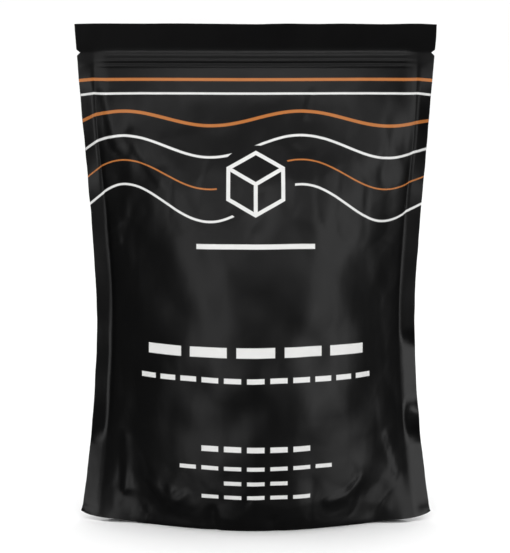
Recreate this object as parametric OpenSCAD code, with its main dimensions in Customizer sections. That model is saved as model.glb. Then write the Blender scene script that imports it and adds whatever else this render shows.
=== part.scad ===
// Stand-up pouch of loose climbing and gymnastics chalk.
// Two film walls and a bottom gusset hold a bed of chalk powder with broken chunks on it.
// The walls are split at a crease line, so that the two lips above it can open at the zip.
// Millimetres, +Z up, the front wall faces -Y, origin on the floor under the middle.

/* [Pouch] */
// Width across the top seal
top_w = 190; // [184:1:196]
// Width across the side seals at the waist
waist_w = 169; // [166:0.2:174]
// Width across the bottom corners
base_w = 189; // [182:0.2:192]
// Height of the standing pouch
pouch_h = 266.5; // [264.5:1:270.5]
// Height of the waist above the floor
waist_z = 118; // [100:1:125]
// Distance from the middle plane to the wall where the pouch is fullest
bulge = 36.5; // [35:0.5:38]
// How much closer the walls are at the floor
base_tuck = 6; // [4:0.5:7]
// Width of the heat-sealed band down each side
seal_w = 8; // [7:0.5:9]
// Thickness of the film
film_t = 0.3; // [0.2:0.05:0.35]
// How far the bottom corners stand off the floor
corner_lift = 4; // [3:0.5:7]

/* [Gusset] */
// Height of the gusset's apex at the side seals
apex_z = 34; // [30:1:36]
// Share of the gusset's half width that lies flat on the floor
flat_share = 0.35; // [0.3:0.01:0.4]

/* [Closure] */
// Height of the crease line where the lips bend open
crease_z = 190; // [186:1:194]
// Height of the zip's middle
zip_z = 245.5; // [244.5:0.5:246.5]
// Half length of the zip
zip_half = 83; // [78:1:83]
// Half height of the zip's webs
web_half = 5; // [3:0.5:5.5]
// Height of the tear line
tear_z = 251.5; // [251.5:0.1:251.9]
// Depth of the tear notches
notch_d = 1.8; // [1:0.1:2.5]
// Half height of the tear notches
notch_half = 1.5; // [1:0.1:2]

/* [Chalk] */
// Top of the powder bed at its middle
powder_z = 60; // [50:1:61]
// How much the powder falls away to the sides
powder_fall = 8; // [4:1:14]
// Layers of chunks on the powder
chunk_layers = 4; // [1:1:4]
// Height of one layer of chunks
layer_h = 27.5; // [24:0.5:27.5]
// Width of one column of chunks
column_w = 29; // [26:0.5:29]

/* [Hidden] */
$fn = 32;
// Shape of the side outline above and below the waist
upper_power = 1.22;
lower_power = 2;
// Below this height the walls are fullest, above it they close towards the zip
full_z = 80;
close_power = 2.2;
close_z = zip_z - web_half - 2;
// Half the gap between the two lips' inner faces at the zip
lip_gap = 0.95;
// Clearance between pieces that part from each other
part_gap = 0.3;
// Clearance between the gusset's seams and the walls
seam_gap = 0.05;
// Share of the lens width that the lips fill, short of the side seals
lip_share = 0.985;
// Share of the lens width that the gusset and the powder fill
gusset_share = 0.96;
powder_share = 0.94;
powder_gap = 1.5;
chunk_gap = 0.4;
wall_gap = 0.9;
// Chunks of one layer: column number and side of the middle plane
CHUNK_CELLS = [[-2, 0], [-1, -1], [-1, 1], [0, -1], [0, 1], [1, -1], [1, 1], [2, 0]];
chunk_points = 22;
golden = 137.508;

chunk_count = chunk_layers * len(CHUNK_CELLS);

function chunk_name(i) = str("chalk_chunk_", i < 9 ? "0" : "", i + 1);
function steps(a, b, n) = [for (i = [0:n]) a + (b - a) * i / n];

// Half width over the side seals, and inside them, at a height
function edge_x(z) =
    z > waist_z
        ? (waist_w + (top_w - waist_w) * pow((z - waist_z) / (pouch_h - waist_z), upper_power)) / 2
        : (waist_w + (base_w - waist_w) * pow((waist_z - z) / waist_z, lower_power)) / 2;
function inner_x(z) = edge_x(z) - seal_w;

// Distance from the middle plane to the inner face of a wall: s runs from -1 to 1 between the seals
function depth(z) =
    z < full_z
        ? bulge - base_tuck * pow((full_z - z) / full_z, 2)
        : bulge * max(0, 1 - pow((z - full_z) / (close_z - full_z), close_power));
function wall_y(z, s) = abs(s) >= 1 ? 0 : depth(z) * (1 - s * s);

// Lower edge of the walls, and the gusset's height across the width
function hem_z(s) = corner_lift * pow(min(1, abs(s)), 3);
function gusset_z(s) = apex_z * pow(max(0, abs(s) - flat_share) / (1 - flat_share), 2);

// Notch that starts the tear, cut into both edges at the tear line
function notch(z) = max(0, notch_d * (1 - abs(z - tear_z) / notch_half));

// Solid between two grids of points with the same rows and columns, where keep[j][i] is true
module sheet(low, high, keep) {
    rows = len(low);
    cols = len(low[0]);
    function at(j, i) = j * cols + i;
    function up(j, i) = rows * cols + j * cols + i;
    function kept(j, i) = j >= 0 && i >= 0 && j < rows - 1 && i < cols - 1 && keep[j][i];
    cells = [for (j = [0:rows - 2]) for (i = [0:cols - 2]) if (kept(j, i)) [j, i]];
    faces = [for (c = cells) let (j = c[0], i = c[1]) each concat(
        [[at(j, i), at(j, i + 1), at(j + 1, i + 1)], [at(j, i), at(j + 1, i + 1), at(j + 1, i)]],
        [[up(j, i), up(j + 1, i + 1), up(j, i + 1)], [up(j, i), up(j + 1, i), up(j + 1, i + 1)]],
        kept(j - 1, i) ? [] : [[at(j, i), up(j, i), up(j, i + 1)], [at(j, i), up(j, i + 1), at(j, i + 1)]],
        kept(j + 1, i) ? [] : [[at(j + 1, i), at(j + 1, i + 1), up(j + 1, i + 1)],
                               [at(j + 1, i), up(j + 1, i + 1), up(j + 1, i)]],
        kept(j, i - 1) ? [] : [[at(j, i), at(j + 1, i), up(j + 1, i)], [at(j, i), up(j + 1, i), up(j, i)]],
        kept(j, i + 1) ? [] : [[at(j, i + 1), up(j, i + 1), up(j + 1, i + 1)],
                               [at(j, i + 1), up(j + 1, i + 1), at(j + 1, i + 1)]])];
    polyhedron(points = concat([for (r = low) each r], [for (r = high) each r]), faces = faces);
}

// Whole wall below the crease, and the two side seals up to the tear line above it
module wall() {
    spread = concat([-1.5], steps(-1, 1, 20), [1.5]);
    heights = concat(steps(0, crease_z, 19), steps(crease_z, tear_z - notch_half, 6),
                     [tear_z - part_gap / 2]);
    rows = [for (j = [0:len(heights) - 1]) if (j != 20) heights[j]];
    function high(h, s) = h + hem_z(s) * max(0, 1 - h / full_z);
    function across(h, s) = abs(s) > 1 ? sign(s) * (edge_x(high(h, s)) - notch(h)) : s * inner_x(high(h, s));
    inner = [for (h = rows) [for (s = spread) [across(h, s), -wall_y(high(h, s), s), high(h, s)]]];
    outer = [for (r = inner) [for (p = r) p - [0, film_t, 0]]];
    keep = [for (h = rows) [for (i = [0:len(spread) - 2]) h < crease_z || i == 0 || i == len(spread) - 2]];
    sheet(outer, inner, keep);
}

// Wall between the crease and the tear line, inside the side seals
module lip() {
    spread = steps(-lip_share, lip_share, 18);
    heights = concat(steps(crease_z + part_gap, close_z, 9), [tear_z - part_gap]);
    inner = [for (h = heights) [for (s = spread) [s * inner_x(h), -max(lip_gap, wall_y(h, s)), h]]];
    outer = [for (r = inner) [for (p = r) p - [0, film_t, 0]]];
    keep = [for (h = heights) [for (s = spread) true]];
    sheet(outer, inner, keep);
}

// Sealed strip above the tear line, with half of each tear notch
module tear_strip() {
    low = tear_z + part_gap / 2;
    side = [[edge_x(low) - notch(low), low], [edge_x(tear_z + notch_half), tear_z + notch_half],
            [top_w / 2, pouch_h]];
    rotate([90, 0, 0])
        linear_extrude(film_t)
            polygon(concat(side, [for (i = [2:-1:0]) [-side[i][0], side[i][1]]]));
}

module front_panel() {
    color("#1b1b1d") wall();
}

module rear_panel() {
    color("#1b1b1d") mirror([0, 1, 0]) wall();
}

module front_lip() {
    color("#232325") lip();
}

module rear_lip() {
    color("#232325") mirror([0, 1, 0]) lip();
}

module tear_strip_front() {
    color("#2b2b2e") tear_strip();
}

module tear_strip_rear() {
    color("#2b2b2e") mirror([0, 1, 0]) tear_strip();
}

// Folded bottom film between the two walls; below its seams it is fused into the walls' hems
module bottom_gusset() {
    spread = steps(-gusset_share, gusset_share, 24);
    function reach(s) = wall_y(gusset_z(s), s) - seam_gap;
    low = [for (f = steps(-1, 1, 6)) [for (s = spread)
        [s * inner_x(gusset_z(s)), f * reach(s), gusset_z(s)]]];
    high = [for (row = low) [for (p = row) p + [0, 0, film_t]]];
    keep = [for (row = low) [for (p = row) true]];
    color("#3a3a3e") sheet(low, high, keep);
}

// Male track: a web on the front lip, a stem and a barbed head
module zip_rib() {
    web = lip_gap - 0.25;
    side = [[-lip_gap, web_half], [-web, web_half], [-web, 0.35], [-0.05, 0.35], [0, 0.6], [0.15, 0.6],
            [0.55, 0.2]];
    color("#8f8f94") track(side);
}

// Female track: a web on the rear lip and two jaws around the head
module zip_channel() {
    web = lip_gap - 0.25;
    jaw = [[lip_gap, web_half], [web, web_half], [web, 1.3], [-0.35, 1.2], [-0.45, 0.72], [-0.2, 0.72],
           [-0.05, 0.85], [web, 0.85]];
    color("#8f8f94") track(jaw);
}

// Upper half of a section in the YZ plane, mirrored and run along the zip
module track(side) {
    last = len(side) - 1;
    translate([0, 0, zip_z])
        rotate([90, 0, 90])
            linear_extrude(2 * zip_half, center = true)
                polygon(concat(side, [for (i = [last:-1:0]) [side[i][0], -side[i][1]]]));
}

// Fine chalk that has settled into the gusset
module chalk_powder() {
    spread = steps(-powder_share, powder_share, 18);
    rows = steps(-1, 1, 8);
    function half(s) = wall_y(0, s) - powder_gap;
    function floor_z(s) = gusset_z(s) + 2 * film_t + seam_gap;
    function top_z(s, f) = powder_z - powder_fall * s * s - 2 * f * f + 1.2 * sin(310 * s + 140 * f);
    low = [for (f = rows) [for (s = spread) [s * inner_x(floor_z(s)), f * half(s), floor_z(s)]]];
    high = [for (f = rows) [for (s = spread) [s * inner_x(top_z(s, f)), f * half(s), top_z(s, f)]]];
    keep = [for (f = rows) [for (s = spread) true]];
    color("#f2f1ec") sheet(low, high, keep);
}

// One broken piece of block chalk, in its own cell of the pile
module chalk_chunk(index) {
    cell = CHUNK_CELLS[index % len(CHUNK_CELLS)];
    layer = floor(index / len(CHUNK_CELLS));
    z = powder_z + 4 + layer_h * (layer + 0.5);
    room = wall_y(z, cell[0] * column_w / inner_x(z)) - wall_gap;
    half_y = cell[1] == 0 ? room * 0.8 : room / 2;
    centre = [cell[0] * column_w, cell[1] * half_y, z];
    size = [column_w / 2, half_y, layer_h / 2] - [chunk_gap, chunk_gap, chunk_gap];
    wobble = rands(0.8, 1, chunk_points, 40 + index);
    turn = rands(0, 360, 1, 900 + index)[0];
    spots = [for (i = [0:chunk_points - 1])
        let (h = 1 - (2 * i + 1) / chunk_points, w = sqrt(1 - h * h), a = turn + golden * i,
             d = [w * cos(a), w * sin(a), h],
             box = pow(pow(abs(d[0]), 4) + pow(abs(d[1]), 4) + pow(abs(d[2]), 4), 0.25),
             p = centre + [for (k = [0:2]) size[k] * d[k] / box * wobble[i]],
             limit = wall_y(p[2], p[0] / inner_x(p[2])) - wall_gap)
        [p[0], max(-limit, min(limit, p[1])), p[2]]];
    color("#faf9f5")
        hull()
            polyhedron(points = spots, faces = [for (i = [1:chunk_points - 2]) [0, i, i + 1]]);
}

front_panel();
rear_panel();
bottom_gusset();
front_lip();
rear_lip();
zip_rib();
zip_channel();
tear_strip_front();
tear_strip_rear();
chalk_powder();
for (i = [0:chunk_count - 1])
    chalk_chunk(i);
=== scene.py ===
"""A stand-up pouch of climbing chalk: printed film walls, a bottom gusset, a zip and its chalk."""
import math

import bmesh
import bpy
import numpy as np
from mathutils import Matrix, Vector, noise
from mathutils.kdtree import KDTree

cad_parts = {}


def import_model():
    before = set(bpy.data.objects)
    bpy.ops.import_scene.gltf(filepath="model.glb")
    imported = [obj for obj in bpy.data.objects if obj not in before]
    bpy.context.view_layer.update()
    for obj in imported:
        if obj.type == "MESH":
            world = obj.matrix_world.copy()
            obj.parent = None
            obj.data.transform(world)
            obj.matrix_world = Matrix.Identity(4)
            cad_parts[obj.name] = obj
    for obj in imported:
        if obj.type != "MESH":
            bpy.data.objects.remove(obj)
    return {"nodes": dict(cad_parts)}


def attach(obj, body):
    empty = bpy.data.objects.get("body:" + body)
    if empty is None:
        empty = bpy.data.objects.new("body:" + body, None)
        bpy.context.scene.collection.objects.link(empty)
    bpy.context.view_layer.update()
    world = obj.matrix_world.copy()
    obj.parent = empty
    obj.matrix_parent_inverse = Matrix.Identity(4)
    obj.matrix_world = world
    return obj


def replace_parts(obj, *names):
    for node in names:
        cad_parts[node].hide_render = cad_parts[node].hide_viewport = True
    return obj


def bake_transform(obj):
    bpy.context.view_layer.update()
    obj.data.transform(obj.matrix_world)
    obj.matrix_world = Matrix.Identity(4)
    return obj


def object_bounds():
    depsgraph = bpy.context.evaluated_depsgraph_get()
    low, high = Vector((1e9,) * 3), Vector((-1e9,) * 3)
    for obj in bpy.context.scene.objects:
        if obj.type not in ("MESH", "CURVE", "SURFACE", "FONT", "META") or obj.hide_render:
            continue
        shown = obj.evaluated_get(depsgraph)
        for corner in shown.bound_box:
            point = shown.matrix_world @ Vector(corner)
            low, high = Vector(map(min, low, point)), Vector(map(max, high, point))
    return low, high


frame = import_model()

cad_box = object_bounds()

# ------------------------------------------------------------------ sizes
# The film is worked out flat, in millimetres: u across from the middle, v up from the hem.
FLAT_W, FLAT_H = 190.0, 272.5
SEAL = 8.0                      # heat-sealed band down each side
HALF_SEAL = FLAT_W / 2 - SEAL   # u at the seals' inner edges
TOP_SEAL_V = 259.0              # lower edge of the top seal
ZIP_V = 251.5                   # middle of the zip
TEAR_V = 257.5                  # tear line
CREASE_V = 197.0                # line where the lips bend open
FOLD_V = 40.0                   # the gusset's fold, up the side seals
RIM_V = 6.0                     # width of the sealed rim at the middle of the base
FILM_T = 0.22                   # drawn thickness of one film
FILM_GLOSS = 0.085              # how strongly the matte black laminate mirrors its surroundings
LIP_GAP = 0.9                   # from the middle plane to each lip's inner face at the zip
SWING_LEFT, SWING_RIGHT = 3.0, 3.7   # how far the feet's outer edges swing to the rear
LEAN_LEFT, LEAN_RIGHT = 0.13, 0.18   # slope of the feet towards the front as they go down
HEADER_NOD = 0.12               # slope of the strip over the tear line towards the front as it goes up
CORNER_CURL = 1.9               # how far the hem's corners curl up off the floor
SEAL_TWIST = 2.2                # how far the side seals' outer edges wander to the front and rear
LUMPS = 2.0                     # how far the contents push the walls out in soft lumps
CREASES = 0.45                  # depth of the sharp creases near the base, the sides and the top
LAST_WALL_Z = 249.0             # height of the walls' outline under the tear notches
# Folds of the filled front wall: both ends on the flat film, height, width. The rear wall mirrors them.
FOLDS = (
    ((-20.5, -3), (-22, 14), -1.3, 1.3), ((-59, 26), (-50, 15), 0.9, 1.4), ((-46, 24), (-48, 10), 0.9, 1.3),
    ((-36, 22), (-45, 15), 0.8, 1.3), ((58, 28), (50, 20), 1.3, 1.5), ((51, 20), (36, 16), 1.3, 1.5),
    ((74, 52), (80, 26), 1.1, 1.6), ((-75, 51), (-73, 16), 1.2, 1.5), ((-82, 238), (-76, 205), 0.9, 1.6),
    ((-70, 214), (-50, 186), 0.8, 2.0), ((-86, 160), (-76, 167), 0.6, 1.4),
    ((-86, 151), (-77, 157), 0.6, 1.4), ((12, -3), (10, 9), -0.8, 1.4),
    ((-62, -3), (-58, 12), 0.8, 1.6), ((30, 238), (26, 222), 0.5, 1.5))
FRONT_SEED, REAR_SEED = 2.5, 7.5     # places in the noise that the two walls' lumps are read from
NOTCH_HALF, NOTCH_DEPTH = 1.6, 1.8   # tear notches: half their height, and how far they cut in
SEAM_BLEND = 9.0                # how far in from its seam the gusset follows the walls
GUSSET_ROOM = 0.3               # least room between the gusset and the walls
STAND_LOSS = 6.0                # how much lower the zip stands than its flat height

# How the relaxation treats the film in one pass
PUFF = 34.0                     # depth of each wall in the rough start shape
FILL_TOP = 180.0                # the chalk presses on the film below this height
SINK = 0.0004                   # how far the film sinks
LIFT = 0.05                     # share of the zip's missing height that is made up
SHEAR = 0.3                     # how firmly diagonals are held, against 1 along the rows and columns
BEND, BEND_WIDE, BEND_SEAL = 0.2, 0.12, 0.5  # stiffness over near points, over far ones, and of the seals
CORNER_PULL = 0.3               # how firmly the bottom corners are held at the pouch's width
SIDE_PULL = 0.25                # how firmly the side seals are drawn to the CAD outline
ZIP_LEVEL = 0.2                 # how firmly the zip line is levelled
SEAL_CALM = 0.996               # how much of a side seal's swing to the front or rear is left
HEADER_CALM = 0.9               # the same for the film over the zip

MM = 0.001
TINY = 1e-12


def add_object(name, data):
    """A new object in the scene."""
    made = bpy.data.objects.new(name, data)
    bpy.context.scene.collection.objects.link(made)
    return made


def unit(vectors, tiny=TINY):
    return vectors / (np.linalg.norm(vectors, axis=-1, keepdims=True) + tiny)


def cad_outline():
    """Half width of the side seals against height, read off the CAD wall and top strip, in millimetres."""
    found = {}
    for name in ("front_panel", "tear_strip_front"):
        for vertex in frame["nodes"][name].data.vertices:
            z = round(vertex.co.z / MM, 1)
            found[z] = max(found.get(z, 0.0), vertex.co.x / MM)
    top = max(found)
    kept = sorted(z for z in found if z <= LAST_WALL_Z or z == top)
    kept = [z for z in kept if found[z] > HALF_SEAL - 4]
    return np.array(kept), np.array([found[z] for z in kept])


OUTLINE_Z, OUTLINE_X = cad_outline()


# ------------------------------------------------------------------ film grids
class Grid:
    """Rows and columns of the film: foot up to the gusset's seam, body up to the zip, and header."""

    def __init__(self, foot, body, head, seal, inner, leaf):
        self.foot, self.body, self.head = foot, body, head
        self.seal, self.inner, self.leaf = seal, inner, leaf
        self.left, self.right = seal, seal + inner
        self.zip_row = foot + body
        half = FLAT_W / 2
        self.u = np.concatenate([np.linspace(-half, -HALF_SEAL, seal + 1)[:-1],
                                 np.linspace(-HALF_SEAL, HALF_SEAL, inner + 1),
                                 np.linspace(HALF_SEAL, half, seal + 1)[1:]])
        seam = seam_v(self.u)
        rows = [seam * k / foot for k in range(foot)]
        rows += [seam + (ZIP_V - seam) * k / body for k in range(body)]
        rows += [np.full_like(seam, ZIP_V + (FLAT_H - ZIP_V) * k / head) for k in range(head + 1)]
        self.v = np.array(rows)
        flat = np.stack([np.broadcast_to(self.u, self.v.shape), np.zeros_like(self.v), self.v], -1)
        self.wall_rest = rest_lengths(flat)
        s = np.linspace(-1, 1, leaf + 1)[:, None]
        inside = self.u[self.left:self.right + 1]
        reach = s * (FOLD_V - seam_v(inside))[None]
        pattern = np.stack([np.broadcast_to(inside, reach.shape), np.zeros_like(reach),
                            FOLD_V - np.abs(reach)], -1)
        self.gusset_rest = rest_lengths(pattern)
        self.reach = reach


def seam_v(u):
    """Flat height of the curved seam that joins a wall to the gusset."""
    r = np.clip(np.abs(u) / HALF_SEAL, 0, 1)
    return RIM_V + (FOLD_V - RIM_V) * r ** 2


def rest_lengths(flat):
    def gap(a, b):
        return np.sqrt(((b - a) ** 2).sum(-1))
    return {(0, 1): gap(flat[:, :-1], flat[:, 1:]), (1, 0): gap(flat[:-1], flat[1:]),
            (1, 1): gap(flat[:-1, :-1], flat[1:, 1:]), (1, -1): gap(flat[:-1, 1:], flat[1:, :-1])}


def keep_lengths(p, lengths, shear):
    """One pass that pulls every link of the grid back to its flat length."""
    rows, cols = p.shape[:2]
    for (dj, di), rest in lengths.items():
        strength = shear if dj and di else 1.0
        for first in (0, 1):
            if dj == 0:
                n = len(range(first, cols - 1, 2))
                a, b = p[:, first:cols - 1:2], p[:, first + 1:cols:2][:, :n]
                want = rest[:, first::2][:, :n]
            else:
                n = len(range(first, rows - 1, 2))
                low, high = p[first:rows - 1:2][:n], p[first + 1:rows:2][:n]
                want = rest[first::2][:n]
                if di == 1:
                    low, high = low[:, :-1], high[:, 1:]
                elif di == -1:
                    low, high = low[:, 1:], high[:, :-1]
                a, b = low, high
            step = b - a
            length = np.sqrt((step * step).sum(-1)) + 1e-9
            move = (0.5 * strength * (length - want) / length)[..., None] * step
            a += move
            b -= move


def stiffen(p, axis, step, strength):
    """Bending stiffness: three points in a line are drawn towards straight."""
    q = p if axis == 0 else p.transpose(1, 0, 2)
    count = q.shape[0]
    for start in range(3 * step):
        at = np.arange(start, count - 2 * step, 3 * step)
        if len(at):
            bend = q[at] - 2 * q[at + step] + q[at + 2 * step]
            q[at] -= strength * bend / 6
            q[at + step] += strength * bend / 3
            q[at + 2 * step] -= strength * bend / 6


def area_normals(p, sign):
    quad = 0.125 * sign * np.cross(p[1:, 1:] - p[:-1, :-1], p[1:, :-1] - p[:-1, 1:])
    out = np.zeros_like(p)
    out[:-1, :-1] += quad
    out[1:, 1:] += quad
    out[1:, :-1] += quad
    out[:-1, 1:] += quad
    return out


def start_shape(grid):
    """Rough puffed pouch that the relaxation starts from. Its curves don't matter much to the result."""
    across = np.clip(np.abs(grid.u) / HALF_SEAL, 0, 1)
    lens = np.where(across < 1, np.cos(across * np.pi / 2) ** 1.2, 0)
    down = np.clip((ZIP_V - grid.v) / ZIP_V, 0, 1)
    depth = PUFF * np.sin(np.pi * down ** 0.8 * 0.86) ** 0.9 * (down > 0)
    pull = 1 - 0.11 * np.sin(np.pi * down)
    front = np.stack([grid.u * pull, -depth * lens, grid.v - 2.0], -1)
    rng = np.random.default_rng(5)
    front[..., 1] += rng.normal(0, 0.15, depth.shape) * (across < 1)
    rear = front.copy()
    rear[..., 1] *= -1
    mix = np.linspace(0, 1, grid.leaf + 1)[:, None, None]
    inside = slice(grid.left, grid.right + 1)
    gusset = front[grid.foot, inside][None] * (1 - mix) + rear[grid.foot, inside][None] * mix
    gusset[..., 2] -= (4 * mix * (1 - mix))[..., 0] * np.minimum(12, -grid.reach[0]) * 0.8
    return front, rear, gusset


def relax(grid, shape, passes, air, load):
    """Lets the sealed film settle round its contents, while it is drawn towards its flat lengths.

    The lengths come out within about 2% on average. They are off by far more in the rows next to the hem.
    """
    front, rear, gusset = [p.copy() for p in shape]
    was = [front.copy(), rear.copy(), gusset.copy()]
    left, right, zip_row, foot = grid.left, grid.right, grid.zip_row, grid.foot
    pressed = np.zeros(front.shape[:2])
    pressed[foot:zip_row + 1, left:right + 1] = 1
    coarse_step = max(1, round(grid.inner / 36.0))
    zip_z = ZIP_V - STAND_LOSS
    corner_x, corner_z = OUTLINE_X[0], OUTLINE_Z[0]
    for count in range(passes):
        damping = 0.95 if count < passes * 0.6 else 0.85
        speed = [(p - q) * damping for p, q in zip((front, rear, gusset), was)]
        was = [front.copy(), rear.copy(), gusset.copy()]
        for p, sign, mask, go in ((front, 1, pressed, speed[0]), (rear, -1, pressed, speed[1]),
                                  (gusset, -1, 1.0, speed[2])):
            push = air + load * np.clip(1 - p[..., 2] / FILL_TOP, 0, 1)
            p += go + (push * mask)[..., None] * area_normals(p, sign)
            p[..., 2] -= SINK
        rise = LIFT * (zip_z - 0.5 * (front[zip_row, :, 2].mean() + rear[zip_row, :, 2].mean()))
        for p in (front, rear):
            p[zip_row:, :, 2] += rise
        for p, rest in ((front, grid.wall_rest), (rear, grid.wall_rest), (gusset, grid.gusset_rest)):
            keep_lengths(p, rest, SHEAR)
        if count % 2 == 0:
            for p in (front, rear):
                for step in (1, 2, 2 * coarse_step):
                    strength = BEND if step == 1 else BEND_WIDE
                    stiffen(p, 0, step, strength)
                    stiffen(p[:, left:right + 1], 1, step, strength)
                stiffen(p[:, :left + 1], 1, 1, BEND_SEAL)
                stiffen(p[:, right:], 1, 1, BEND_SEAL)
            stiffen(gusset, 0, 1, BEND)
            stiffen(gusset, 1, 1, BEND)
        for p in (front, rear):
            p[zip_row:, :, 1] *= HEADER_CALM
            p[zip_row, :, 2] += ZIP_LEVEL * (p[zip_row, :, 2].mean() - p[zip_row, :, 2])
            for column, side in ((0, -1), (-1, 1)):
                want = side * np.interp(p[:, column, 2], OUTLINE_Z, OUTLINE_X)
                p[:, column, 0] += SIDE_PULL * (want - p[:, column, 0])
                p[0, column] += CORNER_PULL * (np.array([side * corner_x, 0, corner_z]) - p[0, column])
            p[:, :left + 1, 1] *= SEAL_CALM
            p[:, right:, 1] *= SEAL_CALM
        for part in (np.s_[:, :left + 1], np.s_[:, right:], np.s_[zip_row:, :]):
            middle = 0.5 * (front[part] + rear[part])
            front[part] = middle
            rear[part] = middle
        for p, row in ((front, 0), (rear, -1)):
            middle = 0.5 * (p[foot, left:right + 1] + gusset[row])
            p[foot, left:right + 1] = middle
            gusset[row] = middle
        gusset[:, 0] = front[foot, left]
        gusset[:, -1] = front[foot, right]
        for p in (front, rear, gusset):
            np.maximum(p[..., 2], 0, out=p[..., 2])
    return front, rear, gusset


def cubic_weights(t):
    """Weights of the four neighbours of a place that lies t past the second one."""
    return (-0.5 * t + t * t - 0.5 * t ** 3, 1 - 2.5 * t * t + 1.5 * t ** 3,
            0.5 * t + 2 * t * t - 1.5 * t ** 3, -0.5 * t * t + 0.5 * t ** 3)


def spread_matrix(old, new):
    """Cubic interpolation from values at 0..old-1 to the fractional places in new."""
    m = np.zeros((len(new), old))
    for row, x in enumerate(new):
        base = min(max(int(math.floor(x)), 0), old - 2)
        for offset, weight in zip((-1, 0, 1, 2), cubic_weights(x - base)):
            at = base + offset
            if at < 0:
                m[row, 0] += 2 * weight
                m[row, 1] -= weight
            elif at >= old:
                m[row, old - 1] += 2 * weight
                m[row, old - 2] -= weight
            else:
                m[row, at] += weight
    return m


def piecewise(*stretches):
    """Fractional grid places: (first, last, how many steps) for each stretch, joined end to end."""
    out = [np.array([float(stretches[0][0])])]
    for first, last, count in stretches:
        out.append(np.linspace(first, last, count + 1)[1:])
    return np.concatenate(out)


def resample(p, rows, cols):
    up, across = spread_matrix(p.shape[0], rows), spread_matrix(p.shape[1], cols)
    return np.einsum("aj,jik,bi->abk", up, p, across)


def refine(grid, fine, shape):
    """Carries a relaxed shape over to a finer grid."""
    rows = piecewise((0, grid.foot, fine.foot), (grid.foot, grid.zip_row, fine.body),
                     (grid.zip_row, grid.zip_row + grid.head, fine.head))
    cols = piecewise((0, grid.left, fine.seal), (grid.left, grid.right, fine.inner),
                     (grid.right, grid.right + grid.seal, fine.seal))
    inside = piecewise((0, grid.inner, fine.inner))
    leaf = piecewise((0, grid.leaf, fine.leaf))
    front, rear, gusset = shape
    return resample(front, rows, cols), resample(rear, rows, cols), resample(gusset, leaf, inside)


AIR, LOAD = 1.8e-4, 0.4e-4
coarse = Grid(6, 48, 4, 2, 36, 14)
shape = relax(coarse, start_shape(coarse), 1400, AIR, LOAD)
film = coarse
film = Grid(10, 88, 8, 3, 66, 26)
shape = relax(film, refine(coarse, film, shape), 700, AIR, LOAD)


# ------------------------------------------------------------------ film as a surface over (u, v)
def grid_places(u, v):
    """Fractional column and row of the relaxed grid at flat places u, v."""
    half = FLAT_W / 2
    seam = seam_v(u)
    side = np.abs(u)
    column = np.where(side <= HALF_SEAL,
                      film.left + film.inner * (u + HALF_SEAL) / (2 * HALF_SEAL),
                      np.where(u < 0, film.left * (1 - (side - HALF_SEAL) / SEAL),
                               film.right + film.seal * (side - HALF_SEAL) / SEAL))
    row = np.where(v < seam, film.foot * v / seam,
                   np.where(v < ZIP_V, film.foot + film.body * (v - seam) / (ZIP_V - seam),
                            film.zip_row + film.head * (v - ZIP_V) / (FLAT_H - ZIP_V)))
    return np.clip(column, 0, len(film.u) - 1), np.clip(row, 0, film.v.shape[0] - 1)


def sample(p, column, row):
    """Smooth interpolation of the grid of points p at fractional places."""
    tall = np.concatenate([2 * p[:1] - p[1:2], p, 2 * p[-1:] - p[-2:-1]], 0)
    padded = np.concatenate([2 * tall[:, :1] - tall[:, 1:2], tall, 2 * tall[:, -1:] - tall[:, -2:-1]], 1)
    j = np.clip(np.floor(row).astype(int), 0, p.shape[0] - 2)
    i = np.clip(np.floor(column).astype(int), 0, p.shape[1] - 2)
    out = 0
    for dj, wj in enumerate(cubic_weights(row - j)):
        for di, wi in enumerate(cubic_weights(column - i)):
            out = out + (wj * wi)[..., None] * padded[j + dj, i + di]
    return out


def smoothstep(a, b, x):
    t = np.clip((x - a) / (b - a), 0, 1)
    return t * t * (3 - 2 * t)


def film_rows(u, bands):
    """Flat heights of every row: foot up to the seam, then bands of (top, how many rows)."""
    seam = seam_v(u)
    rows = [seam * k / FOOT_ROWS for k in range(FOOT_ROWS + 1)]
    low = seam
    for top, count in bands:
        rows += [low + (top - low) * k / count for k in range(1, count + 1)]
        low = np.full_like(u, top)
    return np.array(rows)


FOOT_ROWS, SIDE_COLS, MID_COLS = 16, 4, 116
BANDS = ((CREASE_V, 112), (ZIP_V - 8, 30), (TEAR_V, 30), (FLAT_H, 20))
CREASE_ROW = FOOT_ROWS + BANDS[0][1]
TEAR_ROW = CREASE_ROW + BANDS[1][1] + BANDS[2][1]
LAST_ROW = TEAR_ROW + BANDS[3][1]
TONGUE_ROWS, TONGUE_INSET = 4, 0.35  # rows of each lip tucked inside the wall under the crease, how deep

u_line = np.concatenate([np.linspace(-FLAT_W / 2, -HALF_SEAL, SIDE_COLS + 1)[:-1],
                         np.linspace(-HALF_SEAL, HALF_SEAL, MID_COLS + 1),
                         np.linspace(HALF_SEAL, FLAT_W / 2, SIDE_COLS + 1)[1:]])
v_grid = film_rows(u_line, BANDS)
u_grid = np.broadcast_to(u_line, v_grid.shape)


BEAD_AT, BEAD_WIDTH, BEAD_HEIGHT = 1.35, 0.62, 0.5  # ridges in the film over and under the zip
SEALED_GAP = 0.12               # what the film over the zip keeps of the gap, up to the top seal


def lip_gap(u, v):
    """How far the zip and its webs hold each film off the middle plane."""
    along = smoothstep(HALF_SEAL, HALF_SEAL - 9, np.abs(u))
    zone = smoothstep(ZIP_V - 23, ZIP_V - 8, v) * smoothstep(TEAR_V + 1.2, ZIP_V + 3.5, v)
    beads = sum(np.exp(-((v - ZIP_V - side) / BEAD_WIDTH) ** 2) for side in (-BEAD_AT, BEAD_AT))
    over = smoothstep(TOP_SEAL_V + 0.7, TOP_SEAL_V - 0.4, v) * smoothstep(ZIP_V + 3, ZIP_V + 5, v)
    return along * (LIP_GAP * zone + BEAD_HEIGHT * beads + SEALED_GAP * over)


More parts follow.
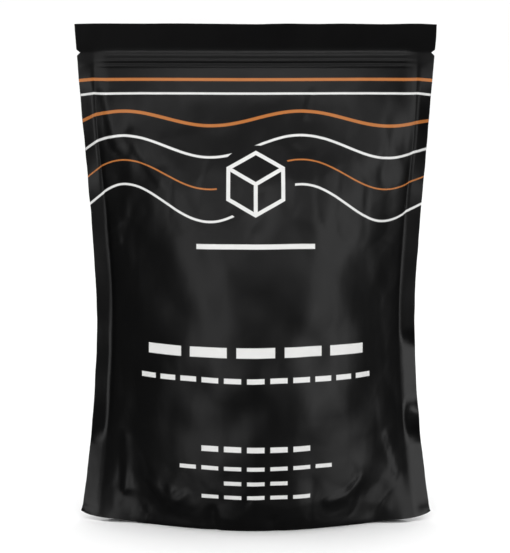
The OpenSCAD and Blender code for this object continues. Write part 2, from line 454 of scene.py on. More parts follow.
def field(function, u, v):
    """A noise function of the flat place, worked out at every point of a grid."""
    return np.array([function(a, b) for a, b in zip(u.ravel(), v.ravel())]).reshape(u.shape)


def foot_shift(u, v):
    """How far the film leans to the front near the bottom corners, and the seals' edges to the rear."""
    low = np.clip(FOLD_V - v, 0, None)
    lean = np.where(u < 0, LEAN_LEFT, LEAN_RIGHT) * low * smoothstep(60, 84, np.abs(u))
    outward = np.clip((np.abs(u) - HALF_SEAL) / SEAL, 0, 1)
    swing = np.where(u < 0, SWING_LEFT, SWING_RIGHT)
    return swing * outward * smoothstep(FOLD_V + 13, FOLD_V - 1, v) - lean


def seal_shift(u, v):
    """Slow twist of the side seals above the feet, the same in both walls."""
    outward = np.clip((np.abs(u) - HALF_SEAL) / SEAL, 0, 1)
    twist = field(lambda a, b: noise.noise(Vector((3.3 if a < 0 else 8.8, b / 24, 0.7))), u, v)
    turned = (u > 0) * smoothstep(56, 70, v) * smoothstep(108, 94, v)
    free = smoothstep(FOLD_V, FOLD_V + 14, v) * smoothstep(TEAR_V, 225, v)
    return outward * (SEAL_TWIST * twist * free * (1 - turned) + SWING_RIGHT * turned)


def crumple(a, b, cell, seed):
    """Distance to the nearest of many scattered points, in cells: facets with creases between them."""
    return noise.voronoi(Vector((a / cell, b / cell, seed)))[0][0]


def sharp_fold(a, b, seed):
    """1 on winding crease lines, falling off steeply to both sides."""
    return max(0.0, 1 - 3.2 * abs(noise.noise(Vector((a, b, seed))))) ** 2


def fold_height(u, v, start, end, depth, width):
    """A straight fold with one steep side and one shallow side, fading out at its ends."""
    run, rise = end[0] - start[0], end[1] - start[1]
    length = math.hypot(run, rise)
    along = ((u - start[0]) * run + (v - start[1]) * rise) / length
    beside = ((u - start[0]) * rise - (v - start[1]) * run) / length
    ends = smoothstep(-2, 3, along) * smoothstep(length + 2, length - 3, along)
    return depth * ends * np.exp(-(beside / np.where(beside > 0, width, 3 * width)) ** 2)


def relief(u, v, seed):
    """How far the contents and small crumples push a wall outwards, in millimetres."""
    seam = seam_v(u)
    inside = smoothstep(HALF_SEAL, HALF_SEAL - 16, np.abs(u))
    body = inside * smoothstep(242, 205, v) * smoothstep(seam - 6, seam + 16, v)
    lumps = field(lambda a, b: noise.noise(Vector((a / 34, b / 30, seed)))
                  + 0.45 * noise.noise(Vector((a / 15, b / 17, seed + 5))), u, v)
    facets = field(lambda a, b: crumple(a + 2.5 * noise.noise(Vector((b / 12, a / 12, seed))), b, 19, seed),
                   u, v)
    near_base = inside * smoothstep(46, 20, v) * smoothstep(1, 8, v)
    near_sides = smoothstep(HALF_SEAL, HALF_SEAL - 5, np.abs(u)) * smoothstep(58, 80, np.abs(u))
    near_sides = near_sides * smoothstep(235, 190, v)
    high_up = inside * smoothstep(140, 175, v) * smoothstep(238, 205, v)
    rough = 0.9 * near_base + 0.55 * near_sides + 0.6 * high_up + 0.12 * body
    creases = field(lambda a, b: sharp_fold(a / 17, b / 30, seed + 3)
                    + 0.25 * sharp_fold(a / 8, b / 15, seed), u, v)
    pleats = field(lambda a, b: noise.noise(Vector((a / 9, b / 34, seed + 9))), u, v)
    gathered = inside * smoothstep(214, 232, v) * smoothstep(246, 238, v)
    mirror = 1 if seed == FRONT_SEED else -1
    folds = sum(fold_height(u * mirror, v, *fold) for fold in FOLDS)
    folds = folds * smoothstep(HALF_SEAL, HALF_SEAL - 3, np.abs(u))
    soft = LUMPS * lumps * body + 0.35 * pleats * gathered
    return soft + rough * (1.7 * (facets - 0.45) - CREASES * creases) + folds


def wall_points(p, front):
    """Inner face of one wall over the whole drawn grid, and its outward normals."""
    facing = -1 if front else 1
    points = sample(p, *grid_places(u_grid, v_grid))
    points[..., 1] += facing * relief(u_grid, v_grid, FRONT_SEED if front else REAR_SEED)
    shift = foot_shift(u_grid, v_grid) + seal_shift(u_grid, v_grid)
    points[..., 1] += facing * lip_gap(u_grid, v_grid) + shift
    points[..., 1] -= HEADER_NOD * np.clip(v_grid - TEAR_V, 0, None)
    points[..., 2] += CORNER_CURL * smoothstep(52, 80, np.abs(u_grid)) * smoothstep(30, 0, v_grid)
    notch = np.clip(1 - np.abs(v_grid - TEAR_V) / NOTCH_HALF, 0, 1) * NOTCH_DEPTH
    edges = np.s_[:, [0, -1]]
    waver = field(lambda a, b: 0.3 * noise.noise(Vector((a, b / 11, 1.5))), u_grid[edges], v_grid[edges])
    for side, column_at in ((1, 0), (-1, -1)):
        points[:, column_at, 0] += side * (notch[:, column_at] + waver[:, column_at])
    np.maximum(points[..., 2], FILM_T, out=points[..., 2])
    top = smoothstep(TEAR_V + 4, FLAT_H, v_grid)
    points[..., 2] += 0.45 * top * field(lambda a, b: noise.noise(Vector((a / 22, 4.4, 0))), u_grid, v_grid)
    across = np.gradient(points, axis=1)
    up = np.gradient(points, axis=0)
    return points, unit(np.cross(across, up) * -facing)


def shell(name, points, normals, flat, keep, materials, inner_slots=None):
    """A thin closed piece of film over the kept cells of a grid, with smooth shading and flat coordinates.

    points are the inner face. Its material is the second one, or inner_slots names one for each cell.
    """
    rows, cols = points.shape[:2]
    kept = np.zeros((rows + 1, cols + 1), bool)
    kept[1:rows, 1:cols] = keep
    j, i = np.nonzero(kept[1:rows, 1:cols])
    corner = [j * cols + i, j * cols + i + 1, (j + 1) * cols + i + 1, (j + 1) * cols + i]
    facing_front = np.cross(points[0, 1] - points[0, 0], points[1, 0] - points[0, 0]) @ normals[0, 0] > 0
    ring = corner if facing_front else corner[::-1]
    total = rows * cols
    faces = [np.stack(ring, 1), np.stack([c + total for c in ring[::-1]], 1)]
    slots = [np.zeros(len(j), int), np.ones(len(j), int) if inner_slots is None else inner_slots[j, i]]
    for beside, a, b in ((kept[:-2, 1:-1], 0, 1), (kept[1:-1, 2:], 1, 2),
                         (kept[2:, 1:-1], 2, 3), (kept[1:-1, :-2], 3, 0)):
        open_side = ~beside[j, i]
        pa, pb = corner[a][open_side], corner[b][open_side]
        rim = [pa, pa + total, pb + total, pb] if facing_front else [pa, pb, pb + total, pa + total]
        faces.append(np.stack(rim, 1))
        slots.append(np.zeros(len(pa), int))
    faces, slots = np.concatenate(faces), np.concatenate(slots)
    outer = (points + normals * FILM_T).reshape(-1, 3)
    every = np.concatenate([outer, points.reshape(-1, 3)]) * MM
    used, index = np.unique(faces, return_inverse=True)
    index = index.reshape(faces.shape)
    mesh = bpy.data.meshes.new(name)
    mesh.from_pydata(every[used].tolist(), [], index.tolist())
    mesh.polygons.foreach_set("material_index", slots.astype(np.int32))
    mesh.polygons.foreach_set("use_smooth", np.ones(len(faces), bool))
    for material in materials:
        mesh.materials.append(material)
    uv = mesh.uv_layers.new(name="flat")
    both = np.concatenate([flat.reshape(-1, 2)] * 2)
    uv.data.foreach_set("uv", both[faces.reshape(-1)].astype(np.float32).reshape(-1))
    cells = len(j)
    point_normals = normals.reshape(-1, 3)
    loop_normals = np.zeros((len(faces), 4, 3))
    loop_normals[:cells] = point_normals[faces[:cells]]
    loop_normals[cells:2 * cells] = -point_normals[faces[cells:2 * cells] - total]
    rims = every[faces[2 * cells:]]
    rim_normals = unit(np.cross(rims[:, 2] - rims[:, 0], rims[:, 3] - rims[:, 1]), TINY * MM)
    loop_normals[2 * cells:] = rim_normals[:, None]
    mesh.normals_split_custom_set(loop_normals.reshape(-1, 3).tolist())
    mesh.update()
    return add_object(name, mesh)


# ------------------------------------------------------------------ materials
class Nodes:
    """Short ways to build a material's node tree. Numbers and sockets can be mixed as inputs."""

    def __init__(self, name):
        self.material = bpy.data.materials.new(name)
        self.material.use_nodes = True
        self.tree = self.material.node_tree
        self.shader = self.tree.nodes["Principled BSDF"]

    def add(self, kind, **settings):
        node = self.tree.nodes.new(kind)
        for key, value in settings.items():
            setattr(node, key, value)
        return node

    def put(self, socket, value):
        if isinstance(value, bpy.types.NodeSocket):
            self.tree.links.new(value, socket)
        else:
            socket.default_value = value

    def math(self, operation, *values, clamp=False):
        node = self.add("ShaderNodeMath", operation=operation, use_clamp=clamp)
        for socket, value in zip(node.inputs, values):
            self.put(socket, value)
        return node.outputs[0]

    def above(self, value, edge, soft):
        """1 where value is over edge, 0 under it, with a soft step."""
        steps = self.math("DIVIDE", self.math("SUBTRACT", value, edge), soft)
        return self.math("ADD", steps, 0.5, clamp=True)

    def within(self, value, edge, soft):
        """The other way round: 1 where value is under edge."""
        return self.math("SUBTRACT", 1.0, self.above(value, edge, soft))

    def set(self, name, value):
        self.put(self.shader.inputs[name], value)

    def place(self):
        """Object coordinates, in metres."""
        return self.add("ShaderNodeTexCoord").outputs["Object"]

    def flat_place(self):
        """Flat coordinates u and v of the film, in millimetres."""
        flat = self.add("ShaderNodeSeparateXYZ")
        self.put(flat.inputs[0], self.add("ShaderNodeUVMap", uv_map="flat").outputs[0])
        u = self.math("MULTIPLY", self.math("SUBTRACT", flat.outputs[0], 0.5), FLAT_H)
        return u, self.math("MULTIPLY", flat.outputs[1], FLAT_H)

    def all(self, *masks):
        out = masks[0]
        for mask in masks[1:]:
            out = self.math("MULTIPLY", out, mask)
        return out

    def any(self, *masks):
        out = masks[0]
        for mask in masks[1:]:
            out = self.math("MAXIMUM", out, mask)
        return out

    def mix(self, factor, a, b):
        node = self.add("ShaderNodeMix", data_type="RGBA")
        for socket, value in ((node.inputs[0], factor), (node.inputs[6], a), (node.inputs[7], b)):
            self.put(socket, value)
        return node.outputs[2]

    def noise(self, where, scale, detail=2.0, rough=0.5, stretch=None):
        """Noise from 0 to 1 over the place given."""
        if stretch:
            mapping = self.add("ShaderNodeMapping")
            mapping.inputs["Scale"].default_value = stretch
            self.put(mapping.inputs["Vector"], where)
            where = mapping.outputs[0]
        node = self.add("ShaderNodeTexNoise")
        self.put(node.inputs["Vector"], where)
        self.put(node.inputs["Scale"], scale)
        self.put(node.inputs["Detail"], detail)
        self.put(node.inputs["Roughness"], rough)
        return node.outputs["Fac"]

    def bump(self, height, distance, strength=1.0, normal=None):
        node = self.add("ShaderNodeBump")
        node.inputs["Strength"].default_value = strength
        node.inputs["Distance"].default_value = distance
        self.put(node.inputs["Height"], height)
        if normal:
            self.put(node.inputs["Normal"], normal)
        return node.outputs[0]


BLACK, DEEP_BLACK = (0.0018, 0.0018, 0.0019), (0.0008, 0.0008, 0.0009)
ORANGE, WHITE = (0.44, 0.15, 0.035), (0.72, 0.72, 0.71)

# Even lines across the upper film: height up it, swell (0 is level), width, and whether it is orange
LINES = ((243.0, 0.0, 1.6, True), (235.5, 0.0, 1.2, False), (222.0, 4.0, 1.7, True),
         (207.0, 6.0, 1.3, False), (192.0, 8.0, 0.8, True), (177.0, 10.0, 1.2, False))
WAVE_SPAN = 95.0                # length of one wave
# Rows of equal dashes where lines of words would be: height, thickness, length of a dash, gap, and how many
# dashes there are on each side of the middle one
DASHES = ((154.4, 2.6, 62.0, 1.0, 0),
          (99.4, 5.4, 20.0, 5.0, 2),
          (84.6, 2.8, 9.0, 3.0, 5),
          (47.4, 3.0, 9.0, 3.0, 2),
          (36.8, 2.2, 9.0, 3.0, 3),
          (28.4, 2.2, 9.0, 3.0, 1),
          (20.4, 2.2, 9.0, 3.0, 2))
EMBLEM_V, EMBLEM_R, EMBLEM_LINE, EMBLEM_SPACE = 187.0, 16.5, 2.0, 4.0
EMBLEM_SOFT, COS_30 = 0.2, 0.866
INK = 0.97                      # how well the ink covers the film
SHINY_TO = 112.0                # the side seals are smoother up to this flat height
PRINT_SOFT = 0.25               # how soft a printed edge is, in millimetres


def wave_line(n, u, v, height, swell, width):
    """Mask of a sine line of even width."""
    turn = n.math("MULTIPLY", u, 2 * math.pi / WAVE_SPAN)
    rise = n.math("MULTIPLY", n.math("SINE", turn), swell)
    slope = n.math("MULTIPLY", n.math("COSINE", turn), swell * 2 * math.pi / WAVE_SPAN)
    lean = n.math("SQRT", n.math("MULTIPLY_ADD", slope, slope, 1.0))
    away = n.math("DIVIDE", n.math("SUBTRACT", n.math("SUBTRACT", v, height), rise), lean)
    return n.within(n.math("ABSOLUTE", away), width / 2, PRINT_SOFT)


def dash_row(n, u, v, height, thick, dash, gap, each_side):
    """Mask of a centred row of equal dashes."""
    period = dash + gap
    along = n.above(n.math("PINGPONG", u, period / 2), dash / 2, PRINT_SOFT)
    past = n.above(n.math("ABSOLUTE", u), each_side * period + dash / 2, PRINT_SOFT)
    off = n.above(n.math("ABSOLUTE", n.math("SUBTRACT", v, height)), thick / 2, PRINT_SOFT)
    return n.math("SUBTRACT", 1.0, n.any(along, past, off))


def emblem_masks(n, u, v):
    """A plain block seen from a corner, a hexagon with three spokes, and all that lies clear of it."""
    y = n.math("SUBTRACT", v, EMBLEM_V)
    side = n.math("ABSOLUTE", u)
    half = n.math("MULTIPLY", side, 0.5)
    slant = n.math("ADD", half, n.math("MULTIPLY", n.math("ABSOLUTE", y), COS_30))
    hexagon = n.math("MAXIMUM", side, slant)
    inner, line = EMBLEM_R * COS_30, EMBLEM_LINE / 2
    ring = n.within(n.math("ABSOLUTE", n.math("SUBTRACT", hexagon, inner)), line, EMBLEM_SOFT)
    arm = n.math("ABSOLUTE", n.math("SUBTRACT", half, n.math("MULTIPLY", y, COS_30)))
    arms = n.all(n.within(arm, line, EMBLEM_SOFT), n.above(y, -0.4, EMBLEM_SOFT))
    stem = n.all(n.within(side, line, EMBLEM_SOFT), n.above(0.0, y, EMBLEM_SOFT))
    block = n.any(ring, n.all(n.within(hexagon, inner, EMBLEM_SOFT), n.any(arms, stem)))
    away = n.math("SQRT", n.math("ADD", n.math("MULTIPLY", u, u), n.math("MULTIPLY", y, y)))
    return block, n.above(away, EMBLEM_R + EMBLEM_SPACE, PRINT_SOFT)


def film_finish(n):
    """Grain and faint wrinkles of matte laminate, shared by the printed and the plain film.

    Returns its colour and its flat coordinates.
    """
    place = n.place()
    grain = n.noise(place, 5200.0, 2.0)
    ripples = n.noise(place, 38.0, 3.0, 0.5, (1.0, 1.0, 0.45))
    creases = n.noise(place, 130.0, 4.0, 0.55, (0.7, 0.7, 1.3))
    haze = n.noise(place, 24.0, 3.0, 0.6)
    u, v = n.flat_place()
    side_seals = n.above(n.math("ABSOLUTE", u), HALF_SEAL, 1.5)
    low_sides = n.math("SUBTRACT", side_seals, n.above(v, SHINY_TO, 20.0), clamp=True)
    sealed = n.any(low_sides, n.above(v, TEAR_V, 2.0))
    rough = n.math("MULTIPLY_ADD", haze, 0.10, n.math("MULTIPLY_ADD", sealed, -0.1, 0.34))
    n.set("Roughness", n.math("MULTIPLY_ADD", grain, 0.04, rough))
    normal = n.bump(ripples, 0.0016, 0.35)
    normal = n.bump(creases, 0.00022, 0.35, normal)
    normal = n.bump(grain, 0.00001, 0.3, normal)
    n.set("Normal", normal)
    n.set("Specular IOR Level", FILM_GLOSS)
    return n.mix(haze, (*DEEP_BLACK, 1), (*BLACK, 1)), u, v


def outer_film(name, with_print):
    """Black laminate, and the front's print on it."""
    n = Nodes(name)
    ground, u, v = film_finish(n)
    if with_print:
        block, clear = emblem_masks(n, u, v)
        lines = {True: [], False: []}
        for height, swell, width, is_orange in LINES:
            lines[is_orange].append(n.all(wave_line(n, u, v, height, swell, width), clear))
        orange = n.any(*lines[True])
        white = n.any(block, *lines[False], *[dash_row(n, u, v, *row) for row in DASHES])
        ground = n.mix(n.math("MULTIPLY", orange, INK), ground, (*ORANGE, 1))
        ground = n.mix(n.math("MULTIPLY", white, INK), ground, (*WHITE, 1))
    n.set("Base Color", ground)
    return n.material


def liner_material():
    """Inside of the film: a dull silvery barrier layer, dusted with chalk low down."""
    n = Nodes("film_liner")
    place = n.place()
    height = n.add("ShaderNodeSeparateXYZ")
    n.put(height.inputs[0], place)
    dust = n.noise(place, 70.0, 6.0, 0.65)
    low = n.math("DIVIDE", n.math("SUBTRACT", 0.235, height.outputs[2]), 0.07, clamp=True)
    cover = n.math("SUBTRACT", n.math("ADD", dust, n.math("MULTIPLY", low, 0.5)), 0.45)
    cover = n.math("MULTIPLY", cover, 2.2, clamp=True)
    n.set("Base Color", n.mix(cover, (0.42, 0.43, 0.45, 1), (0.84, 0.84, 0.82, 1)))
    n.set("Roughness", n.math("MULTIPLY_ADD", cover, 0.45, 0.38))
    n.set("Metallic", n.math("MULTIPLY_ADD", cover, -0.75, 0.75))
    n.set("Normal", n.bump(n.noise(place, 300.0, 3.0), 0.0001, 0.4))
    return n.material


def zip_material():
    """Milky polyethylene with fine extrusion lines and a little chalk in them."""
    n = Nodes("zip_plastic")
    place = n.place()
    lines = n.noise(place, 900.0, 2.0, 0.5, (0.02, 1.0, 1.0))
    dust = n.noise(place, 260.0, 4.0)
    n.set("Base Color", n.mix(dust, (0.62, 0.64, 0.66, 1), (0.82, 0.82, 0.81, 1)))
    n.set("Roughness", n.math("MULTIPLY_ADD", dust, 0.3, 0.25))
    n.set("Normal", n.bump(lines, 0.00005, 0.5))
    n.set("Subsurface Weight", 0.15)
    n.set("Subsurface Scale", 0.002)
    return n.material


def chalk_material(name, warm):
    """Dry magnesium carbonate: crumbly grain and pits, with painted shade that greys the colour in the
    hollows of its bumps.
    """
    n = Nodes(name)
    place = n.place()
    lumps = n.noise(place, 180.0, 5.0, 0.6)
    grain = n.noise(place, 1500.0, 4.0, 0.7)
    pits = n.add("ShaderNodeTexVoronoi", feature="DISTANCE_TO_EDGE")
    n.put(pits.inputs["Vector"], place)
    pits.inputs["Scale"].default_value = 320.0
    # Painted shade: the colour follows the lumps and grain that also make the bumps, so it is greyer where
    # they are low, in the hollows.
    shade = n.math("MULTIPLY_ADD", lumps, 0.7, n.math("MULTIPLY", grain, 0.3))
    n.set("Base Color", n.mix(shade, (0.70, 0.70, 0.69, 1), warm))
    n.set("Roughness", n.math("MULTIPLY_ADD", grain, 0.12, 0.86))
    normal = n.bump(lumps, 0.0012, 0.6)
    normal = n.bump(pits.outputs["Distance"], 0.0004, 0.3, normal)
    n.set("Normal", n.bump(grain, 0.00025, 0.7, normal))
    return n.material


def floor_material():
    """Matte paper, a little uneven."""
    n = Nodes("studio_floor")
    place = n.place()
    shade = n.mix(n.noise(place, 3.0), (0.86, 0.86, 0.86, 1), (0.9, 0.9, 0.9, 1))
    n.set("Base Color", shade)
    n.set("Roughness", 0.9)
    return n.material


PRINTED = outer_film("printed_film", True)
PLAIN = outer_film("plain_film", False)
LINER = liner_material()
PLASTIC = zip_material()
POWDER = chalk_material("chalk_powder", (0.88, 0.88, 0.86, 1))
BLOCK = chalk_material("chalk_block", (0.92, 0.915, 0.90, 1))

# ------------------------------------------------------------------ film pieces
flat_uv = np.stack([u_grid / FLAT_H + 0.5, v_grid / FLAT_H], -1)
row_at, col_at = np.indices((LAST_ROW, len(u_line) - 1))
side_cell = (col_at < SIDE_COLS) | (col_at >= SIDE_COLS + MID_COLS)
inner_slots = np.where(row_at < FOOT_ROWS, 0, 1)
middle_col = len(u_line) // 2


def wall_pieces(p, side, panel, lip, strip):
    """Cuts one wall into the part below the crease, the two halves of its lip, and its tear strip."""
    points, normals = wall_points(p, side == "front")
    outer = PRINTED if side == "front" else PLAIN
    tucked = points - normals * (TONGUE_INSET * smoothstep(CREASE_V, CREASE_V - 0.8, v_grid))[..., None]

    def cut(name, keep, place=points):
        return shell(name, place, normals, flat_uv, keep, (outer, LINER), inner_slots)

    wall = cut(f"{side}_wall_film", (row_at < CREASE_ROW) | ((row_at < TEAR_ROW) & side_cell))
    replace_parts(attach(wall, "pouch"), panel)
    for half, mine in (("left", col_at < middle_col), ("right", col_at >= middle_col)):
        keep = (row_at >= CREASE_ROW - TONGUE_ROWS) & (row_at < TEAR_ROW) & ~side_cell & mine
        piece = cut(f"{side}_lip_{half}", keep, tucked)
        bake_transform(piece)
        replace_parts(piece, lip)
    top = cut(f"{side}_tear_strip_film", row_at >= TEAR_ROW)
    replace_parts(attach(top, "tear_strip"), strip)
    return points


front_grid, rear_grid, gusset_grid = shape
front_points = wall_pieces(front_grid, "front", "front_panel", "front_lip", "tear_strip_front")
rear_points = wall_pieces(rear_grid, "rear", "rear_panel", "rear_lip", "tear_strip_rear")


def wall_finder(points):
    """Looks up a wall's places from above its x, z plane."""
    flat = points[::2].reshape(-1, 3)
    tree = KDTree(len(flat))
    for index, (x, _, z) in enumerate(flat):
        tree.insert((x, 0, z), index)
    tree.balance()
    return tree, flat


FINDERS = [(side, *wall_finder(points)) for side, points in ((-1, front_points), (1, rear_points))]


def keep_inside(at, clearance):
    """Presses points, in metres, back between the two walls, with a clearance in millimetres."""
    for row, (x, _, z) in enumerate(at):
        for side, tree, flat in FINDERS:
            near = tree.find_n((x / MM, 0, z / MM), 3)
            room = min(side * flat[index][1] for _, index, _ in near) - clearance
            if side * at[row][1] / MM > room:
                at[row][1] = side * room * MM


def gusset_film():
    """The folded bottom film between the two seams."""
    rows = piecewise((0, film.leaf, 48))
    cols = piecewise((0, film.inner, MID_COLS))
    points = resample(gusset_grid, rows, cols)
    u, reach = np.broadcast_to(film.u[film.left:film.right + 1], film.reach.shape), film.reach
    places = resample(np.stack([u, FOLD_V - np.abs(reach)], -1), rows, cols)
    beside_seam = smoothstep(SEAM_BLEND, 0, places[..., 1] - seam_v(places[..., 0]))
    facing = np.where(np.arange(len(rows)) < len(rows) / 2, -1, 1)[:, None]
    for side, seed in ((-1, FRONT_SEED), (1, REAR_SEED)):
        pressed = relief(places[..., 0], places[..., 1], seed) * beside_seam
        points[..., 1] += np.where(facing == side, side * pressed, 0)
    points[..., 1] += foot_shift(places[..., 0], places[..., 1])
    inside = points.reshape(-1, 3) * MM
    keep_inside(inside, GUSSET_ROOM)
    points = inside.reshape(points.shape) / MM
    np.maximum(points[..., 2], FILM_T, out=points[..., 2])
    normals = unit(np.cross(np.gradient(points, axis=1), np.gradient(points, axis=0)))
    normals *= np.where(normals[..., 2:] > 0, -1, 1)
    spread = np.stack(np.meshgrid(np.linspace(0, 1, len(cols)), np.linspace(0, 1, len(rows))), -1)
    keep = np.ones((len(rows) - 1, len(cols) - 1), bool)
    piece = shell("bottom_gusset_film", points, normals, spread, keep, (PLAIN, LINER))
    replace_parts(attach(piece, "pouch"), "bottom_gusset")
    return points.reshape(-1, 3)


gusset_points = gusset_film()

# ------------------------------------------------------------------ zip
# Upper halves of the sections, in millimetres: off the middle plane to the rear, up from the zip's middle
RIB_SECTION = (
    (-0.92, 5.0), (-0.72, 4.9), (-0.68, 2.3), (-0.50, 2.2), (-0.45, 2.0), (-0.50, 1.8), (-0.68, 1.7),
    (-0.66, 0.5), (-0.55, 0.34), (-0.06, 0.34), (0.0, 0.58), (0.12, 0.62), (0.38, 0.42), (0.56, 0.14))
CHANNEL_SECTION = (
    (0.92, 5.0), (0.72, 4.9), (0.68, 1.55), (0.45, 1.4), (-0.1, 1.34), (-0.38, 1.2), (-0.46, 0.9),
    (-0.40, 0.72), (-0.2, 0.72), (-0.06, 0.86), (0.3, 0.84), (0.60, 0.72), (0.68, 0.45))
ZIP_STATIONS = 84
CRUSHED = 0.2                   # share of the section's thickness left at the side seals
WEB_FROM, WEB_BACK = 1.6, 0.92  # where the webs start, and how far off the middle plane their backs are


def zip_track(name, upper, half, body, node):
    """One half of a track: webs on the film and a profile between them, crushed at the side seal."""
    grid, facing = (front_grid, -1) if body == "front_lip" else (rear_grid, 1)
    side = -1 if half == "left" else 1
    stations = side * np.linspace(0, HALF_SEAL - 2.5, ZIP_STATIONS)
    whole = CRUSHED + (1 - CRUSHED) * smoothstep(HALF_SEAL - 1, HALF_SEAL - 10, np.abs(stations))
    back = [(facing * WEB_BACK, up) for up in np.linspace(-upper[0][1], upper[0][1], 13)[1:-1]]
    section = [*upper, *[(y, -up) for y, up in reversed(upper)], *back]
    rings = []
    for y, up in section:
        height = np.full_like(stations, ZIP_V + up)
        ring = sample(grid, *grid_places(stations, height))
        if abs(up) > WEB_FROM or abs(y) > WEB_BACK - 0.01:
            ring[:, 1] += facing * (lip_gap(stations, height) - (WEB_BACK - abs(y)) * whole)
        else:
            middle = sample(grid, *grid_places(stations, np.full_like(stations, ZIP_V)))
            ring[:, 1] = middle[:, 1] + y * whole
        rings.append(ring)
    made = bmesh.new()
    verts = [[made.verts.new(p * MM) for p in ring] for ring in rings]
    count = len(section)
    for k in range(count):
        a, b = verts[k], verts[(k + 1) % count]
        for i in range(ZIP_STATIONS - 1):
            made.faces.new((a[i], a[i + 1], b[i + 1], b[i])).smooth = True
    for end in (0, -1):
        made.faces.new([ring[end] for ring in verts])
    bmesh.ops.recalc_face_normals(made, faces=made.faces)
    mesh = bpy.data.meshes.new(name)
    made.to_mesh(mesh)
    made.free()
    mesh.materials.append(PLASTIC)
    mesh.set_sharp_from_angle(angle=math.radians(50))
    piece = add_object(name, mesh)
    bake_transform(piece)
    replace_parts(piece, node)


for half in ("left", "right"):
    zip_track(f"zip_rib_{half}", RIB_SECTION, half, "front_lip", "zip_rib")
    zip_track(f"zip_channel_{half}", CHANNEL_SECTION, half, "rear_lip", "zip_channel")

# ------------------------------------------------------------------ chalk
CHUNK_VOXEL, POWDER_VOXEL = 0.0012, 0.003
BREAK, GRAIN = 0.0011, 0.00035  # how deep the coarse and the fine breaks go, in metres
BREAK_SIZE, GRAIN_SIZE, PIT_SIZE = 70, 420, 260  # how many to the metre, roughly
CHALK_ROOM = 0.9                # least room between the chalk and the film, in millimetres
GUSSET_REACH = 42.0             # nothing of the gusset is higher than this


def gusset_finder():
    """Looks up the gusset's places from above its x, y plane."""
    tree = KDTree(len(gusset_points))
    for index, (x, y, _) in enumerate(gusset_points):
        tree.insert((x, y, 0), index)
    tree.balance()
    return tree


GUSSET_TREE = gusset_finder()


def keep_above_gusset(at):
    """Lifts points, in metres, off the bottom film."""
    for row, (x, y, z) in enumerate(at):
        if z < GUSSET_REACH * MM:
            near = GUSSET_TREE.find_n((x / MM, y / MM, 0), 3)
            least = max(gusset_points[index][2] for _, index, _ in near) + CHALK_ROOM
            at[row][2] = max(z, least * MM)


def crumble(node, voxel, seed):
    """Copies a CAD lump as a fine mesh and breaks its surface up inwards, so that it stays in the lump."""
    piece = add_object(f"{node.name}_broken", node.data.copy())
    remesh = piece.modifiers.new("remesh", "REMESH")
    remesh.mode, remesh.voxel_size = "VOXEL", voxel
    done = bpy.data.meshes.new_from_object(piece.evaluated_get(bpy.context.evaluated_depsgraph_get()))
    piece.modifiers.clear()
    piece.data = done
    at = np.empty(len(done.vertices) * 3, np.float32)
    done.vertices.foreach_get("co", at)
    facing = np.empty_like(at)
    done.vertices.foreach_get("normal", facing)
    at, facing = at.reshape(-1, 3), facing.reshape(-1, 3)
    shift = Vector((seed * 3.1, seed * 1.7, 0.4))
    cut = []
    for p in at:
        place = Vector(p) + shift
        big = noise.fractal(place * BREAK_SIZE, 1.0, 2.0, 3)
        small = noise.fractal(place * GRAIN_SIZE, 0.8, 2.1, 4)
        pit = max(0.0, noise.noise(place * PIT_SIZE) - 0.25)
        cut.append(BREAK * (0.5 - big) * 0.5 + GRAIN * (0.5 - small) + 1.6 * GRAIN * pit)
    at -= facing * np.clip(np.array(cut), 0, 2 * BREAK)[:, None]
    keep_above_gusset(at)
    keep_inside(at, CHALK_ROOM)
    done.vertices.foreach_set("co", at.reshape(-1))
    done.polygons.foreach_set("use_smooth", np.ones(len(done.polygons), bool))
    done.update()
    return piece


chalk_nodes = sorted(name for name in frame["nodes"] if name.startswith("chalk"))
for seed, name in enumerate(chalk_nodes):
    powder = name == "chalk_powder"
    lump = crumble(frame["nodes"][name], POWDER_VOXEL if powder else CHUNK_VOXEL, seed)
    lump.data.materials.clear()
    lump.data.materials.append(POWDER if powder else BLOCK)
    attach(lump, "pouch")
    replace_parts(lump, name)


# ------------------------------------------------------------------ stage, light and camera
def floor():
    """A pale plane that shows neither in the film nor as a shadow on it."""
    bpy.ops.mesh.primitive_plane_add(size=60, location=(0, 0, cad_box[0].z))
    plane = bpy.context.object
    plane.name = "studio_floor"
    plane.data.materials.append(floor_material())
    plane.visible_glossy = False
    plane.visible_shadow = False


def softbox(name, place, target, size, power):
    """A panel that only makes highlights: it is long enough to show in the film down to its hem."""
    light = bpy.data.lights.new(name, "AREA")
    light.shape = "RECTANGLE"
    light.size, light.size_y = size
    light.energy = power
    lamp = add_object(name, light)
    lamp.location = place
    lamp.visible_diffuse = False
    lamp.rotation_euler = (Vector(target) - Vector(place)).to_track_quat("-Z", "Y").to_euler()
    return lamp


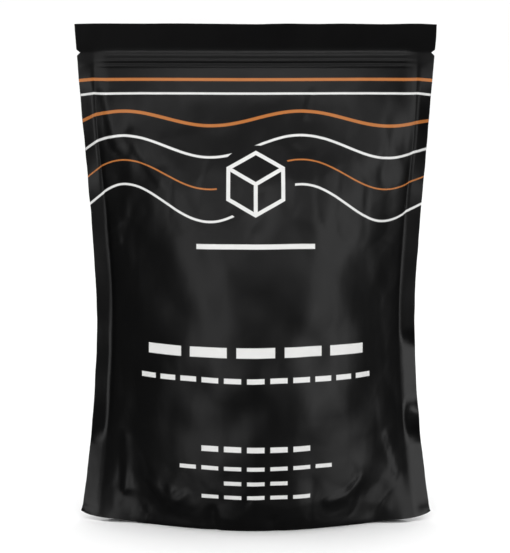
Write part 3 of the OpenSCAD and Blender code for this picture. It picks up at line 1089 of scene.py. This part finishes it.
def wash(name, place, target, size, power):
    """A wide soft light for the print, which makes no highlight of its own."""
    lamp = softbox(name, place, target, (size, size), power)
    lamp.visible_diffuse, lamp.visible_glossy = True, False


def world(strength):
    made = bpy.data.worlds.new("studio")
    made.use_nodes = True
    made.node_tree.nodes["Background"].inputs["Color"].default_value = (1, 1, 1, 1)
    made.node_tree.nodes["Background"].inputs["Strength"].default_value = strength
    bpy.context.scene.world = made


def sky_light(strength, spread):
    """Wide soft light from straight above that keeps the floor pale all the way back."""
    light = bpy.data.lights.new("overhead", "SUN")
    light.energy, light.angle = strength, math.radians(spread)
    add_object("overhead", light)


CAM_ELEVATION, CAM_DISTANCE, CAM_LENS = 10.1, 1.7, 226.1  # degrees, metres, millimetres
CAM_TARGET = Vector((-0.0004, 0, 0.1319))


def camera():
    """The photo's view: straight from the front, a little from above."""
    data = bpy.data.cameras.new("camera")
    data.lens, data.sensor_width, data.sensor_fit = CAM_LENS, 36.0, "HORIZONTAL"
    cam = add_object("camera", data)
    angle = math.radians(CAM_ELEVATION)
    back = Vector((0, -math.cos(angle), math.sin(angle)))
    cam.location = CAM_TARGET + back * CAM_DISTANCE
    cam.rotation_euler = (-back).to_track_quat("-Z", "Y").to_euler()
    bpy.context.scene.camera = cam


floor()
world(0.22)
sky_light(3.0, 70)
softbox("key_right", (1.15, -1.0, 0.15), (0, 0, 0.14), (0.65, 1.7), 32)
softbox("key_left", (-0.82, -1.25, 0.15), (0, 0, 0.16), (0.5, 1.7), 23)
softbox("front_top", (0.1, -1.5, 0.75), (0, 0, 0.16), (0.7, 0.4), 14)
wash("front_wash", (0, -2.0, 1.0), (0, 0, 0.13), 1.5, 17)
softbox("rear_left", (-1.0, 1.2, 0.3), (0, 0, 0.15), (0.5, 1.5), 20)
softbox("rear_right", (0.8, 1.3, 0.3), (0, 0, 0.15), (0.4, 1.5), 14)
softbox("rear_top", (0, 1.4, 1.0), (0, 0, 0.16), (0.8, 0.25), 8)
camera()
bpy.context.scene.view_settings.view_transform = "Standard"
